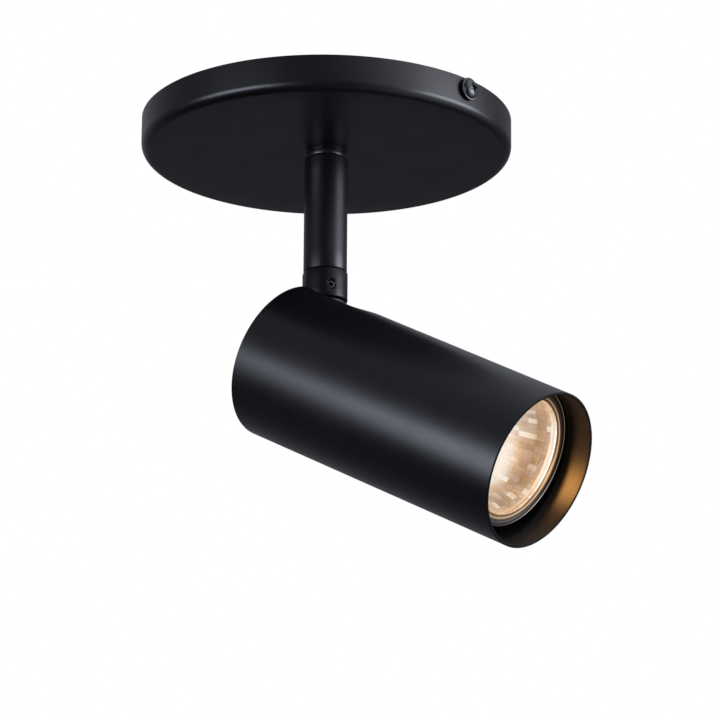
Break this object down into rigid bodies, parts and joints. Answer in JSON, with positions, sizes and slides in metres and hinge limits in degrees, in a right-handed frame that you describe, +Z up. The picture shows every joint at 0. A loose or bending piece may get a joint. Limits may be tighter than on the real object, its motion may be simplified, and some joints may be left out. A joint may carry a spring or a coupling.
{
  "type": "surface mounted ceiling spotlight",
  "caption": "Round ceiling canopy with an upright stem and a slotted lamp tube that turns about the stem and tilts on a cross bolt.",
  "frame": {"origin": "centre of the canopy rim and of the strap, on the ceiling plane", "axes": "+Z up into the ceiling, +X the way the tube points in plan at rest, +Y to its left seen from above"},
  "size_m": [0.1659, 0.13, 0.1643],
  "materials": {
    "black_paint": "satin black powder coat on steel",
    "blackened_steel": "black oxide, half gloss",
    "zinc_steel": "bright zinc plate",
    "spring_steel": "oil-tempered",
    "brass": "plain",
    "nickel": "nickel plate",
    "tungsten": "drawn wire, lit",
    "white_nylon": "moulded",
    "fibre": "vulcanised fibre",
    "ceramic": "unglazed ceramic",
    "mirror_glass": "faceted mirror coating on pressed glass",
    "clear_glass": "clear, flat",
    "quartz": "clear"
  },
  "bodies": {
    "mount": {"canopy_cover": "black_paint", "mounting_strap": "zinc_steel", "canopy_screws": "blackened_steel", "earth_screw": "zinc_steel", "terminal_block": "white_nylon", "terminal_clamps": "brass", "clamp_screws": "zinc_steel", "block_screw": "zinc_steel", "stem_nipple": "zinc_steel", "toothed_washer": "zinc_steel", "stem_lock_nut": "zinc_steel", "stem_washer": "blackened_steel", "stem_tube": "black_paint", "stem_key": "black_paint", "knuckle_socket": "black_paint", "knuckle_grub_screw": "blackened_steel"},
    "arm": {"swivel_arm": "black_paint", "arm_set_screw": "blackened_steel", "wire_bush": "white_nylon"},
    "tube": {"housing_tube": "black_paint", "rear_cap": "black_paint", "bulkhead": "zinc_steel", "pivot_bracket": "zinc_steel", "bracket_rivets": "zinc_steel", "pivot_bolt": "zinc_steel", "pivot_nut": "zinc_steel", "friction_washers": "fibre", "spring_washers": "spring_steel", "lamp_holder": "ceramic", "holder_screws": "zinc_steel", "holder_contacts": "brass"},
    "lamp": {"lamp_reflector": "mirror_glass", "lamp_front_glass": "clear_glass", "lamp_base": "ceramic", "lamp_pins": "nickel", "lamp_capsule": "quartz", "lamp_filament": "tungsten"}
  },
  "joints": [
    {"name": "pan", "type": "hinge", "parent": "mount", "child": "arm", "pos_m": [0, 0, -0.0725], "axis": [0, 0, 1], "range_deg": [-175, 175]},
    {"name": "tilt", "type": "hinge", "parent": "arm", "child": "tube", "pos_m": [0, 0, -0.0944], "axis": [0, 1, 0], "range_deg": [-28.17, 61.83]},
    {"name": "lamp_twist", "type": "hinge", "parent": "tube", "child": "lamp", "pos_m": [0.03575, 0, -0.11195], "axis": [0.8816, 0, -0.4721], "range_deg": [-25, 0]}
  ]
}
